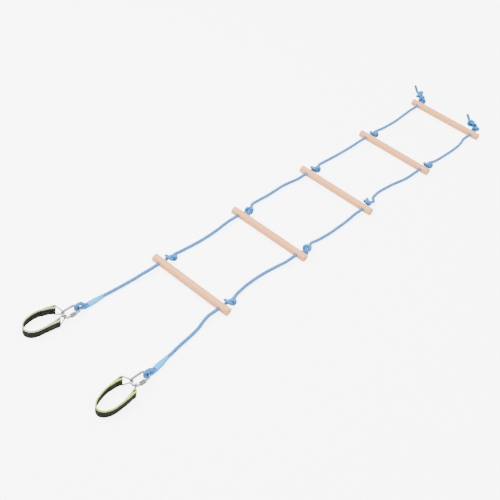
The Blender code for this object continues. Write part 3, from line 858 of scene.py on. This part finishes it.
def lead_route(side):
    """Places from rung 1 into the sleeve, and how thick the rope is at each."""
    _, throat, mouth, way, _, beside = eye_frame(side)
    x = rope_x(side)
    points = [(x, KNOT_IN, ROPE_HIGH), (x, KNOT_IN - RUN_IN, ROPE_HIGH)]
    points += [(x, -distance, ROPE_HIGH - sunk) for distance, sunk in LEAD_START]
    for number, (y, lead_x) in enumerate(SIDES[side]["lead"]):
        drop = (ROPE_HIGH - FLOOR_HEIGHT) * smoothstep((number + 1) / 3)
        if y > mouth[1] + 0.02:
            points.append((lead_x, y, ROPE_HIGH - drop))
    marks = [1.0] * len(points) + [1.0, 0.97, 0.90, 0.82, STRAND_SQUEEZE]
    points += [mouth + way * 0.004, mouth - way * 0.006 - beside * 0.03,
               mouth - way * 0.018 - beside * 0.20, throat + way * 0.030 - beside * 0.50,
               throat + way * 0.0145 - beside * 0.92]
    return [at(*point) for point in points], marks


def spread_marks(path, places, marks):
    """A value along the path that passes through each place's mark."""
    travelled = lengths(path)
    spots = [travelled[np.argmin(np.linalg.norm(path - place, axis=1))] for place in places]
    return np.interp(travelled, spots, marks)


def make_lead(side, sleeve):
    places, marks = lead_route(side)
    path = smooth_route(places, BRAID_STEP)
    rope = braided("rope_%s_lead" % side, path, scales=spread_marks(path, places, marks))
    x = rope_x(side)
    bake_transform(rope)
    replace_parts(rope, "rope_%s_1_in" % side, "lead_rope_" + side)
    rope_cord(path)


def make_eye(side):
    """The rope's turn round the link's bar, from the sleeve and back into it."""
    bar, throat, _, way, across, beside = eye_frame(side)
    route = [(throat + way * inside - beside, STRAND_SQUEEZE) for inside in (0.014, 0.004)]
    route += [(throat - way * 0.004 - beside + UP * 0.0006, STRAND_SQUEEZE + 0.04),
              (throat - way * 0.014 - beside * 0.80 + UP * 0.0072, 0.97),
              (bar + np.array((0, 0.013, 0.0064)) - beside * 0.40, 1.0)]
    for turn in np.radians(range(90, 271, 20)):
        spoke = np.array((0, math.cos(turn), math.sin(turn))) * EYE_RADIUS
        route.append((bar - beside * 0.25 * math.sin(turn) + spoke, 1.0))
    route += [(bar + np.array((0, 0.013, -0.0104)) + beside * 0.45, 1.0),
              (throat - way * 0.014 + beside * 0.85 + UP * 0.0004, 0.97)]
    route += [(throat + way * inside + beside, STRAND_SQUEEZE)
              for inside in (-0.004, 0.004, 0.014)]
    places = [at(*place) for place, _ in route]
    path = smooth_route(places, BRAID_STEP)
    scales = spread_marks(path, places, [mark for _, mark in route])
    eye = braided("rope_%s_eye" % side, path, across, scales=scales)
    move_vertices(eye, settle)
    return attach(eye, "lead_" + side)


def sleeve_lip(ring, way):
    """Rings that round a sleeve's end over and go back inside."""
    spoke = ring - ring.mean(0)
    spoke /= np.linalg.norm(spoke, axis=1)[:, None]
    return [ring - spoke * inset + way * depth for inset, depth in SLEEVE_LIP]


def make_sleeve(side):
    """A shrunk tube over the rope and its turned-back end."""
    _, throat, mouth, way, across, _ = eye_frame(side)
    strand = ROPE_DIAMETER * STRAND_SQUEEZE / 2
    wide, thick = 2.04 * strand + 0.0012, strand + 0.0016
    narrow = ROPE_DIAMETER / 2 + 0.0017
    share = np.linspace(0, 1, 70)[:, None]
    angle = around(56)
    step = smoothstep((share - 0.40) / 0.50)
    half_width = wide + (narrow - wide) * step
    half_thick = thick + (narrow - thick) * step
    flat = np.maximum(half_width - half_thick, 0)
    ripple = 0.00022 * np.sin(share * 61 + 2.3 * np.sin(angle + share * 7))
    ripple += 0.00016 * np.sin(3 * angle + share * 29)
    radius = half_thick + ripple
    sideways = flat * np.tanh(np.cos(angle) * 2.2) / np.tanh(2.2) + radius * np.cos(angle)
    dip = 0.0008 * (1 - step) * np.exp(-(sideways / 0.0035)**2)
    height = (radius - dip) * np.sin(angle)
    middle = at(*throat) + (at(*mouth) - at(*throat)) * share
    rows = middle[:, None] + across * sideways[..., None] + UP * height[..., None]
    rows = np.concatenate([sleeve_lip(rows[0], -way)[::-1], rows, sleeve_lip(rows[-1], way)])
    name = "sleeve_%s_shrunk" % side
    mesh = grid_mesh(name, settle(rows, 0.0003, 0.0008))
    return new_object(name, mesh, SLEEVE, "lead_" + side, "sleeve_" + side)


for side in ("left", "right"):
    knots = {number: make_knot(side, number) for number in range(1, RUNGS + 1)}
    for number in range(1, RUNGS):
        make_span(side, number)
    eye = make_eye(side)
    make_lead(side, make_sleeve(side))


# ---------------------------------------------------------------- the rungs
def rung_profile():
    """(distance along from the middle, radius) of one half of a rung."""
    half = RUNG_LENGTH / 2
    edge = 0.0022
    profile = [(0.0, RUNG_RADIUS), (half * 0.5, RUNG_RADIUS), (half - 0.012, RUNG_RADIUS),
               (half - edge, RUNG_RADIUS)]
    for k in range(1, 6):
        turn = math.pi / 2 * k / 5
        profile.append((half - edge + edge * math.sin(turn),
                        RUNG_RADIUS - edge + edge * math.cos(turn)))
    profile.append((half, RUNG_RADIUS * 0.5))
    return profile


def make_rung(number):
    name = "rung_%d_turned" % number
    profile = rung_profile()
    full = [(-x, r) for x, r in profile[:0:-1]] + profile
    rows = np.array([[(x, r * math.cos(a), r * math.sin(a)) for a in around(72)]
                     for x, r in full])
    mesh = grid_mesh(name, rows[:, ::-1], caps=(True, True))
    piece = new_object(name, mesh)
    hole = [(-y, HOLE_RADIUS + extra) for y, extra in HOLE[::-1]]
    hole += [(y, HOLE_RADIUS + extra) for y, extra in HOLE]
    drills = []
    for sign in (-1, 1):
        rows = np.array([[(sign * HOLE_X + r * math.sin(a), y, r * math.cos(a))
                          for a in around(40)] for y, r in hole])
        drill = new_object("drill", grid_mesh("drill", rows, caps=(True, True)))
        face_out(drill.data)
        drills.append(drill)
        modifier = piece.modifiers.new("drill", "BOOLEAN")
        modifier.operation = "DIFFERENCE"
        modifier.solver = "EXACT"
        modifier.object = drill
    face_out(mesh)
    bpy.context.view_layer.update()
    graph = bpy.context.evaluated_depsgraph_get()
    cut = bpy.data.meshes.new_from_object(piece.evaluated_get(graph))
    piece.modifiers.clear()
    for drill in drills:
        bpy.data.objects.remove(drill, do_unlink=True)
    piece.data = cut
    cut.name = name
    cut.materials.clear()
    cut.materials.append(wood_material(number))
    cut.shade_smooth()
    cut.set_sharp_from_angle(angle=math.radians(28))
    piece.location = at(0, rung_y(number), ROPE_HIGH)
    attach(piece, "rung_%d" % number)
    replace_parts(piece, "rung_%d" % number)


for number in range(1, RUNGS + 1):
    make_rung(number)


# ---------------------------------------------------------------- metal
def fillet_loop(corners, degrees=7.5):
    """A closed outline of (point, radius) corners, each rounded by an arc."""
    outline = []
    count = len(corners)
    for number, (corner, radius) in enumerate(corners):
        corner = Vector(corner)
        before = (Vector(corners[number - 1][0]) - corner).normalized()
        after = (Vector(corners[(number + 1) % count][0]) - corner).normalized()
        half = before.angle(after) / 2
        centre = corner + (before + after).normalized() * radius / math.sin(half)
        first = corner + before * radius / math.tan(half) - centre
        last = corner + after * radius / math.tan(half) - centre
        steps = max(6, round(math.degrees(math.pi - 2 * half) / degrees))
        turn = first.angle(last)
        for step in range(steps + 1):
            t = step / steps
            spoke = (first * math.sin((1 - t) * turn) + last * math.sin(t * turn)) / math.sin(turn)
            outline.append(tuple(centre + spoke))
    return outline


def rod(name, path, radius, closed=False):
    """A rod along the path, capped unless it is closed. radius is (points, sides)."""
    if closed:
        tangents = np.roll(path, -1, axis=0) - np.roll(path, 1, axis=0)
        tangents /= np.linalg.norm(tangents, axis=1)[:, None]
        plane = unit(np.cross(tangents[0], tangents[len(path) // 3]))
        normals = np.repeat(plane[None], len(path), 0)
        across = np.cross(tangents, normals)
    else:
        _, normals, across = frames(path, UP)
    return grid_mesh(name, tube_rows(path, normals, across, radius), closed_rows=closed,
                     caps=(not closed, not closed))


def make_link(side):
    """The link's bent rod, from one threaded end round to the other."""
    x, y = SIDES[side]["link"]
    half = LINK_HALF_WIDTH
    corners = [((over * half, along * LINK_HALF_LENGTH, 0), LINK_CORNER)
               for along, over in ((1, 1), (1, -1), (-1, -1), (-1, 1))]
    up = [(half, v, 0) for v in np.arange(GATE_GAP[1], THREAD_LENGTH, 0.0002)]
    down = [(half, v, 0) for v in np.arange(-THREAD_LENGTH - 0.003, GATE_GAP[0], 0.0002)]
    line = np.array(up + fillet_loop(corners) + down + [(half, GATE_GAP[0], 0)])
    along = line[:, 1:2]
    angle = around(32)
    on_gate = np.abs(line[:, :1] - half) < 1e-6
    threaded = on_gate & (along < THREAD_LENGTH - 0.0005) & (along > -THREAD_LENGTH - 0.0025)
    wave = (along / THREAD_PITCH + angle / (2 * math.pi)) % 1.0
    depth = THREAD_DEPTH * np.abs(2 * wave - 1)
    ends = np.minimum(np.abs(along - GATE_GAP[0]), np.abs(along - GATE_GAP[1]))
    chamfer = np.where(on_gate & (ends < CHAMFER), CHAMFER - ends, 0)
    radius = LINK_ROD / 2 - np.where(threaded, depth, 0) - chamfer
    name = "link_%s_rod" % side
    mesh = rod(name, at(x, y, LINK_HEIGHT) + line, radius)
    new_object(name, mesh, STEEL, "link_" + side, "link_" + side)


def make_nut(side):
    """A long hexagonal gate nut with turned ends and a bore."""
    x, y = SIDES[side]["link"]
    half = (NUT_SPAN[1] - NUT_SPAN[0]) / 2
    flats = NUT_FLATS / 2
    angle = around(72)
    round_ring = np.ones(len(angle))
    sector = (angle + math.pi / 6) % (math.pi / 3) - math.pi / 6
    hexagon = np.minimum(flats / np.cos(sector), flats * 1.135)
    outer = [(-half, flats * 0.93 * round_ring)]
    for rise in np.arange(1, 9) / 8 * 0.0016:
        circle = flats * 0.93 + rise / math.tan(math.radians(30))
        outer.append((-half + rise, np.minimum(hexagon, circle)))
    outer += [(-value, radius) for value, radius in outer[::-1]]
    bore = NUT_BORE / 2
    inner = [(half, (bore + 0.0005) * round_ring), (half - 0.0005, bore * round_ring)]
    inner += [(-value, radius) for value, radius in inner[::-1]]
    rows = np.array([np.stack([radius * np.cos(angle), value * round_ring,
                               radius * np.sin(angle)], 1) for value, radius in outer + inner])
    centre = at(x + LINK_HALF_WIDTH, y + sum(NUT_SPAN) / 2, LINK_HEIGHT)
    name = "gate_nut_%s_hex" % side
    mesh = grid_mesh(name, rows + centre, closed_rows=True)
    mesh.set_sharp_from_angle(angle=math.radians(24))
    face_out(mesh)
    new_object(name, mesh, NUT, "gate_" + side, "gate_nut_" + side)


def ring_hooks(side):
    """Per ring: where it hangs on the link, its way out, and its bar for the strap."""
    x, y = SIDES[side]["link"]
    hooks = []
    for over, angle in zip((-1, 1), SIDES[side]["ring_angles"]):
        turn = math.radians(angle)
        way = np.array((over * math.sin(turn), -math.cos(turn), 0))
        corner = np.array((x + over * (LINK_HALF_WIDTH - LINK_CORNER),
                           y - LINK_HALF_LENGTH + LINK_CORNER, LINK_HEIGHT))
        hook = corner + way * LINK_CORNER
        hooks.append((hook, way, hook + way * RING_REACH))
    return hooks


def make_rings(side):
    tip = -RING_HOOK / math.sin(RING_FLARE)
    rise = (RING_REACH - tip) * math.tan(RING_FLARE)
    flat = [((tip, 0, 0), RING_HOOK), ((RING_REACH, -rise, 0), RING_CORNER),
            ((RING_REACH, rise, 0), RING_CORNER)]
    outline = fillet_loop(flat)
    for end, (hook, way, _) in zip(("outer", "inner"), ring_hooks(side)):
        points = np.array([at(*(hook + way * along + UP * up)) for along, up, _ in outline])
        name = "ring_%s_%s_wire" % (side, end)
        mesh = rod(name, points, np.full((len(points), 24), RING_WIRE / 2), closed=True)
        new_object(name, mesh, WIRE, "hanger_" + side, "ring_%s_%s" % (side, end))


for side in ("left", "right"):
    make_link(side)
    make_nut(side)
    make_rings(side)


# ---------------------------------------------------------------- the straps
def strap_ends(side):
    """Per end: the ring's bar, the way along the strap and the way into the loop."""
    loop = [np.array((x, y, 0.0)) for x, y in SIDES[side]["strap"]]
    ends = []
    for (_, _, bar), following, turn in zip(ring_hooks(side), (loop[0], loop[-1]), (1, -1)):
        bar = bar * (1, 1, 0)
        away = unit(following - bar)
        ends.append((bar, away, np.array((-away[1], away[0], 0.0)) * turn))
    return loop, ends


def strap_centreline(side):
    """The strap's middle: back from a stitched end, round a ring, over the far bend, and
    the same to the other end."""
    loop, ends = strap_ends(side)
    legs = []
    for bar, away, inward in ends:
        leg = [bar + away * STRAP_FOLD + inward * STRAP_LAYER]
        leg += [bar + away * along + inward * aside for along, aside in STRAP_END]
        leg += [bar + inward * STRAP_TURN * math.cos(spin) - away * STRAP_TURN * math.sin(spin)
                for spin in np.radians(range(0, 181, 30))]
        leg += [bar + away * along - inward * aside for along, aside in STRAP_END[::-1]]
        legs.append(leg)
    return legs[0] + loop + legs[1][::-1]


def strap_heights(side, route):
    """The strap's lower edge along its route: it sinks to the floor at the far bend."""
    hooks = ring_hooks(side)
    flat_y = (hooks[0][2][1] + hooks[1][2][1]) / 2 - 0.005
    far_y = route[:, 1].min()
    lowest = LINK_HEIGHT - STRAP_WIDTH / 2 - 0.0002
    sink = lowest * np.clip((flat_y - route[:, 1]) / (flat_y - far_y), 0, 1)
    return LINK_HEIGHT - STRAP_WIDTH / 2 - sink


def strap_section():
    """(across from the middle, out from the middle) round the webbing's section."""
    half, thick = STRAP_WIDTH / 2, STRAP_THICKNESS / 2
    across = np.linspace(-half + thick, half - thick, 25)
    ribs = thick + 0.00006 * np.cos(across / 0.0016 * np.pi)
    turn = np.pi / 2 - np.pi * np.arange(1, 8) / 8
    face = np.stack([across, ribs], 1)
    edge = np.stack([half - thick + thick * np.cos(turn), thick * np.sin(turn)], 1)
    return np.concatenate([face, edge, -face, -edge])


def make_strap(side):
    route = smooth_route(strap_centreline(side), STRAP_STEP)
    low = strap_heights(side, route)
    tangents = np.gradient(route, axis=0)
    tangents /= np.linalg.norm(tangents, axis=1)[:, None]
    outward = np.stack([-tangents[:, 1], tangents[:, 0], np.zeros(len(route))], 1)
    section = strap_section()
    middle = at(0, 0, 0) + route
    middle[:, 2] = low + STRAP_WIDTH / 2
    travelled = lengths(route)
    wave = 0.00035 * np.sin(travelled * 95.0) + 0.00025 * np.sin(travelled * 41.0 + 1.0)
    ends = np.minimum(travelled, travelled[-1] - travelled)
    wave = wave * np.clip((ends - 0.06) / 0.03, 0, 1)
    rows = (middle[:, None] + UP * (section[None, :, 0:1])
            + outward[:, None] * section[None, :, 1:2] + outward[:, None] * wave[:, None, None])
    over = np.tile(section[:, 0], (len(route), 1))
    edge = np.clip((over - (STRAP_WIDTH / 2 - STRIPE)) / 0.0004, 0, 1)
    along = np.repeat(travelled[:, None], len(section), 1)
    name = "strap_%s_woven" % side
    mesh = grid_mesh(name, rows, caps=(True, True),
                     attributes={"edge": edge, "along": along, "over": over})
    new_object(name, mesh, WEBBING[side], "hanger_" + side, "strap_" + side)


def stitch_line(start, end, k, number):
    """(along, up, arch) at five places of stitch k of the number from start to end. arch is
    how far the thread stands off the webbing."""
    (along, up), (last_along, last_up) = start, end
    first, last = (k + 0.12) / number, (k + 0.88) / number
    for t in np.linspace(first, last, 5):
        arch = STITCH_RADII[0] * math.sin(math.pi * (t - first) / (last - first)) - STITCH_SINK
        yield along + (last_along - along) * t, up + (last_up - up) * t, arch


def stitch_lines(side):
    """The middle of each stitch of a box and a cross, on both faces of both ends."""
    near, far = STITCH_BOX
    half = STRAP_WIDTH / 2 - STITCH_INSET
    corners = [(near, -half), (near, half), (far, half), (far, -half)]
    runs = [(corners[k], corners[(k + 1) % 4]) for k in range(4)]
    runs += [(corners[0], corners[2]), (corners[1], corners[3])]
    for bar, away, inward in strap_ends(side)[1]:
        for face in (-1, 1):
            out = inward * face
            surface = STRAP_LAYER + STRAP_THICKNESS / 2 + STITCH_SINK
            for start, end in runs:
                number = max(2, round(math.dist(start, end) / (STITCH + STITCH_GAP)))
                for k in range(number):
                    line = []
                    for along, up, arch in stitch_line(start, end, k, number):
                        x, y, _ = bar + away * along + out * (surface + arch)
                        line.append(at(x, y, LINK_HEIGHT + up))
                    yield np.array(line)


def make_stitches(side):
    """The sewing that holds each turned-back end."""
    sides = 6
    verts, faces = [], []
    for line in stitch_lines(side):
        _, normals, across = frames(line, UP + np.array((0.3, 0.2, 0)))
        radius = np.full((len(line), sides), STITCH_RADII[1])
        radius[[0, -1]] = STITCH_RADII[0]
        base = len(verts)
        verts += tube_rows(line, normals, across, radius).reshape(-1, 3).tolist()
        for ring in range(base, len(verts) - sides, sides):
            for k in range(sides):
                following = (k + 1) % sides
                faces.append((ring + k, ring + following, ring + sides + following,
                              ring + sides + k))
        faces.append(tuple(range(base, base + sides))[::-1])
        faces.append(tuple(range(len(verts) - sides, len(verts))))
    mesh = bpy.data.meshes.new("stitches_" + side)
    mesh.from_pydata(verts, [], faces)
    mesh.polygons.foreach_set("use_smooth", np.ones(len(mesh.polygons), bool))
    mesh.update()
    new_object("stitches_" + side, mesh, THREAD, "hanger_" + side)


for side in ("left", "right"):
    make_strap(side)
    make_stitches(side)


# ---------------------------------------------------------------- floor and light
def make_floor():
    tool = bmesh.new()
    bmesh.ops.create_grid(tool, x_segments=1, y_segments=1, size=30.0)
    mesh = bpy.data.meshes.new("floor")
    tool.to_mesh(mesh)
    tool.free()
    material, n = new_material("floor_white")
    seen = n.add("ShaderNodeLightPath").outputs["Is Camera Ray"]
    n.set(Base_Color=(0.92, 0.92, 0.92), Roughness=0.9, Emission_Color=(1.0, 1.0, 1.0),
          Emission_Strength=n.times(seen, FLOOR_GLOW))
    new_object("floor", mesh, material)


def make_world():
    world = bpy.data.worlds.new("studio")
    bpy.context.scene.world = world
    world.use_nodes = True
    n = Nodes(world.node_tree, "Background")
    way = n.add("ShaderNodeTexCoord").outputs["Generated"]
    up = n.add("ShaderNodeSeparateXYZ", {"Vector": way}).outputs[2]
    sky = n.ramp(n.math("MULTIPLY_ADD", up, 0.5, 0.5), [(place, [v] * 3) for place, v in SKY])
    n.set(Color=sky, Strength=WORLD_LIGHT)


def make_lights():
    for name, place, aim, size, power in LAMPS:
        data = bpy.data.lights.new(name, "AREA")
        data.energy = power
        data.size = size
        lamp = new_object(name, data)
        lamp.location = place
        way = Vector(aim) - Vector(place)
        lamp.rotation_mode = "QUATERNION"
        lamp.rotation_quaternion = way.to_track_quat("-Z", "Y")


make_floor()
make_world()
make_lights()
